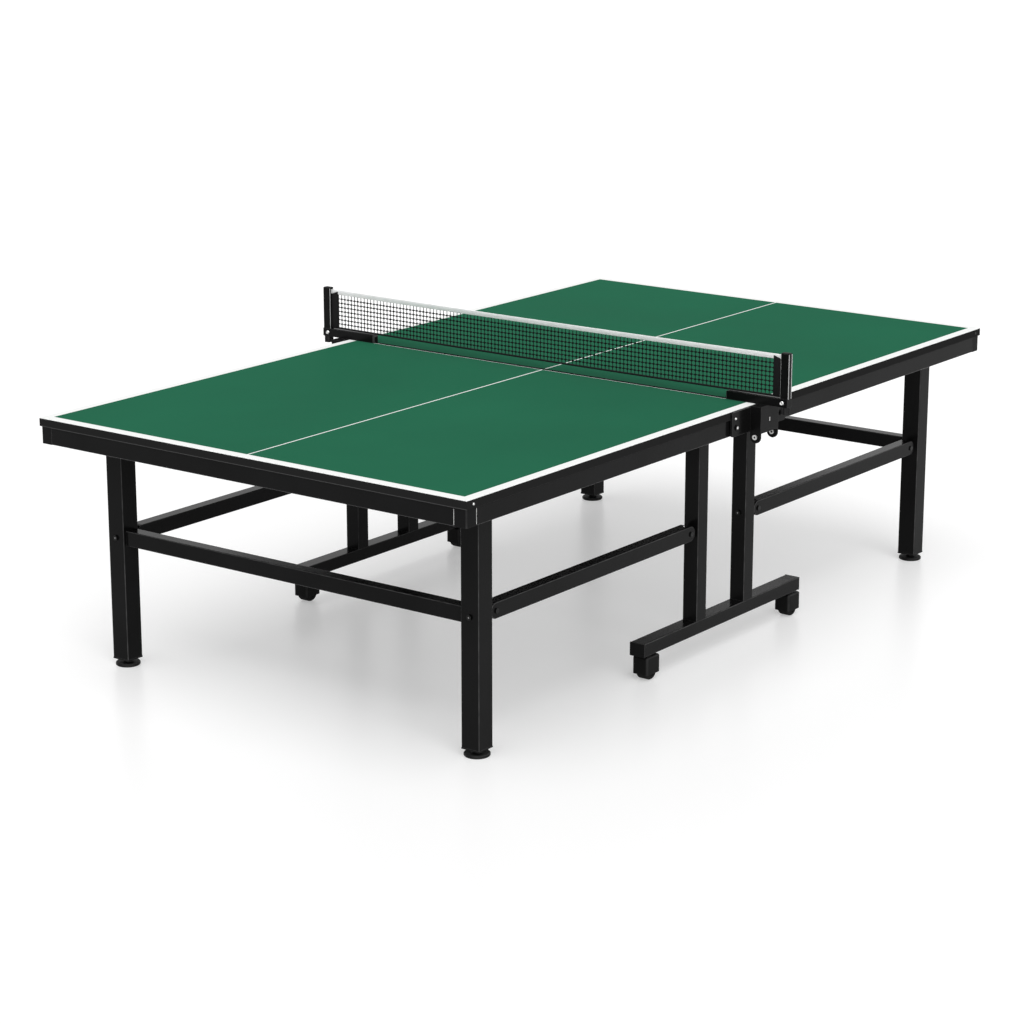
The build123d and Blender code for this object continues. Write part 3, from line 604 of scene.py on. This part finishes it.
def woven(name, dark, light, pitch, rough, bump):
    """Woven cloth in two tones, with its threads in the bump."""
    material, tree, shader = new_material(name)
    place = add_node(tree, "ShaderNodeTexCoord").outputs["Object"]
    threads = []
    for axis in ("Y", "Z"):
        wave = add_node(tree, "ShaderNodeTexWave", {
            "Vector": place, "Scale": one_wave_per_metre / pitch, "Distortion": 0.4, "Detail": 1.0},
            bands_direction=axis)
        threads.append(wave.outputs["Fac"])
    weave = maths(tree, "MULTIPLY", threads[0], threads[1])
    grain = add_node(tree, "ShaderNodeGroup", node_tree=grain_group)
    grain.inputs["Patch Scale"].default_value = 40.0
    blend = maths(tree, "MULTIPLY", maths(tree, "ADD", weave, grain.outputs["Tone"]), 0.5)
    matt = add_node(tree, "ShaderNodeMapRange", {
        "Value": grain.outputs["Tone"], "To Min": rough - rough_spread, "To Max": rough + rough_spread})
    relief = add_node(tree, "ShaderNodeBump", {
        "Height": weave, "Strength": bump, "Distance": thread_depth})
    tree.links.new(mix_colours(tree, blend, dark, light), shader.inputs["Base Color"])
    tree.links.new(matt.outputs["Result"], shader.inputs["Roughness"])
    tree.links.new(relief.outputs["Normal"], shader.inputs["Normal"])
    shader.inputs["Specular IOR Level"].default_value = cloth_specular
    return material


net_cord_cloth = woven("net_cord", dark=grey(0.003), light=grey(0.006), pitch=0.0006, rough=0.75, bump=0.4)
tape_cloth = woven("net_tape_cloth", dark=grey(0.86), light=grey(0.95), pitch=0.0007, rough=0.8, bump=0.3)
sleeve_cloth = woven("net_sleeve_cloth", dark=grey(0.003), light=grey(0.007, 1.05), pitch=0.0007,
                     rough=0.65, bump=0.5)

mesh_bottom = net_low.z + hem_radius
mesh_top = net_high.z - tape_height
mesh_height = mesh_top - mesh_bottom
row_count = round(mesh_height / mesh_pitch)
row_pitch = mesh_height / row_count
column_count = round(2 * sleeve_inner / mesh_pitch)
column_pitch = 2 * sleeve_inner / column_count
across_net = Matrix.Rotation(math.radians(90), 4, "X")
flat_knot = Matrix.Diagonal((knot_flatness, 1.0, 1.0, 1.0))
netting = bmesh.new()
for column in range(column_count + 1):
    y = column * column_pitch - sleeve_inner
    middle = Matrix.Translation((0, y, (mesh_bottom + mesh_top) / 2))
    bmesh.ops.create_cone(netting, segments=cord_sides, radius1=cord_radius, radius2=cord_radius,
                          depth=mesh_height, matrix=middle)
    for row in range(row_count):
        z = mesh_bottom + row * row_pitch
        if row > 0:
            bmesh.ops.create_icosphere(netting, subdivisions=1, radius=knot_radius,
                                       matrix=Matrix.Translation((0, y, z)) @ flat_knot)
        if column < column_count:
            place = Matrix.Translation((0, y + column_pitch / 2, z)) @ across_net
            bmesh.ops.create_cone(netting, segments=cord_sides, radius1=cord_radius, radius2=cord_radius,
                                  depth=column_pitch, matrix=place)
sag(netting)
netting_piece = add_piece("netting", netting, net_cord_cloth, "undercarriage")
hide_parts("net")

tape = bmesh.new()
add_strip(tape, (-tape_half_thickness, -post_inner, net_high.z - tape_height),
          (tape_half_thickness, post_inner, net_high.z), tape_bevel)
cut_along_net(tape)
sag(tape)
tape_piece = add_piece("net_tape", tape, tape_cloth, "undercarriage")

stitch_length = 0.0042
stitch_pitch = 0.0072
stitch_radius = 0.00035
stitch_sides = 4
stitch_above_edge = 0.003
stitch_z = net_high.z - tape_height + stitch_above_edge
stitches = bmesh.new()
for step in range(int(2 * sleeve_inner / stitch_pitch)):
    y = (step + 0.5) * stitch_pitch - sleeve_inner
    for face in (-1, 1):
        place = Matrix.Translation((face * tape_half_thickness, y, stitch_z)) @ across_net
        bmesh.ops.create_cone(stitches, cap_ends=True, segments=stitch_sides, radius1=stitch_radius,
                              radius2=stitch_radius, depth=stitch_length, matrix=place)
sag(stitches)
stitch_piece = add_piece("net_tape_stitches", stitches, tape_cloth, "undercarriage")

hem = bmesh.new()
bmesh.ops.create_cone(hem, cap_ends=True, segments=hem_sides, radius1=hem_radius, radius2=hem_radius,
                      depth=2 * post_inner,
                      matrix=Matrix.Translation((0, 0, net_low.z + hem_radius)) @ across_net)
cut_along_net(hem)
sag(hem)
hem_piece = add_piece("net_hem", hem, sleeve_cloth, "undercarriage")

sleeve_top_drop = 0.004
sleeve_slope = 0.009
sleeve_bevel = 0.0028
sleeves = bmesh.new()
for side in SIDES.values():
    ends = sorted((side * sleeve_inner, side * sleeve_outer))
    add_strip(sleeves, (-sleeve_half_thickness, ends[0], net_low.z),
              (sleeve_half_thickness, ends[1], net_high.z - sleeve_top_drop), sleeve_bevel)
for vert in sleeves.verts:
    if vert.co.z > (net_low.z + net_high.z) / 2:
        vert.co.z -= sleeve_slope * (abs(vert.co.y) - sleeve_inner) / sleeve_width
sleeve_piece = add_piece("net_sleeves", sleeves, sleeve_cloth, "undercarriage")

# Floor and light: a white studio floor that keeps the table's soft shadow and a faint
# reflection, under a broad overhead light, a softer light from the front and a pale sky.
floor_reach = 90.0
floor_grey = 0.62
floor_glow = 0.375
floor_shape = bmesh.new()
bmesh.ops.create_grid(floor_shape, x_segments=1, y_segments=1, size=floor_reach)
floor_mesh = bpy.data.meshes.new("studio_floor")
floor_shape.to_mesh(floor_mesh)
floor_shape.free()
floor = bpy.data.objects.new("studio_floor", floor_mesh)
bpy.context.scene.collection.objects.link(floor)


def seen_by_mirrors(tree):
    """1 for rays that meet the background straight on, in a mirror or through glass."""
    ray = add_node(tree, "ShaderNodeLightPath").outputs
    mirrored = maths(tree, "MAXIMUM", ray["Is Glossy Ray"], ray["Is Transmission Ray"])
    return maths(tree, "MAXIMUM", ray["Is Camera Ray"], mirrored)


floor_paint, floor_tree, floor_shader = new_material("studio_floor_white")
floor_mesh.materials.append(floor_paint)
floor_shader.inputs["Base Color"].default_value = grey(floor_grey)
floor_shader.inputs["Roughness"].default_value = 0.3
floor_shader.inputs["Specular IOR Level"].default_value = 0.2
floor_shader.inputs["Emission Color"].default_value = grey(1.0)
floor_light = maths(floor_tree, "MULTIPLY", seen_by_mirrors(floor_tree), floor_glow)
floor_tree.links.new(floor_light, floor_shader.inputs["Emission Strength"])

sky_level = 0.42
world = bpy.data.worlds.new("studio_world")
bpy.context.scene.world = world
world.use_nodes = True
sky_tree = world.node_tree
sky_light = sky_tree.nodes["Background"]
sky_light.inputs["Color"].default_value = grey(1.0)
sky_light.inputs["Strength"].default_value = sky_level
sky_white = add_node(sky_tree, "ShaderNodeBackground", {"Color": grey(1.0), "Strength": 1.0})
sky_mix = add_node(sky_tree, "ShaderNodeMixShader", {
    0: seen_by_mirrors(sky_tree), 1: sky_light.outputs[0], 2: sky_white.outputs[0]})
sky_tree.links.new(sky_mix.outputs[0], sky_tree.nodes["World Output"].inputs["Surface"])


def add_sun(name, comes_from, energy, spread):
    """A broad lamp that shines from one direction."""
    lamp = bpy.data.lights.new(name, "SUN")
    lamp.energy = energy
    lamp.angle = math.radians(spread)
    sun = bpy.data.objects.new(name, lamp)
    sun.rotation_euler = Vector(comes_from).to_track_quat("Z", "Y").to_euler()
    bpy.context.scene.collection.objects.link(sun)


add_sun("overhead_light", comes_from=(-0.30, -0.12, 1.0), energy=1.75, spread=60)
add_sun("front_light", comes_from=(-0.45, -0.76, 0.46), energy=1.1, spread=40)

# Camera: a long lens at the height and angle of the photograph, placed by fitting the
# corners of the top, the feet and the casters to it.
photo_width_px = 1024
focal_length_px = 2787
sensor_width_mm = 36.0
camera_place = Vector((-6.7041, -4.8977, 2.5602))
camera_yaw = math.radians(36.821)
camera_pitch = math.radians(-15.168)
camera_lens = bpy.data.cameras.new("camera")
camera_lens.sensor_width = sensor_width_mm
camera_lens.lens = sensor_width_mm * focal_length_px / photo_width_px
camera = bpy.data.objects.new("camera", camera_lens)
camera.location = camera_place
view_direction = Vector((math.cos(camera_pitch) * math.cos(camera_yaw),
                         math.cos(camera_pitch) * math.sin(camera_yaw), math.sin(camera_pitch)))
camera.rotation_euler = view_direction.to_track_quat("-Z", "Y").to_euler()
bpy.context.scene.collection.objects.link(camera)
bpy.context.scene.camera = camera
bpy.context.scene.view_settings.view_transform = "Standard"
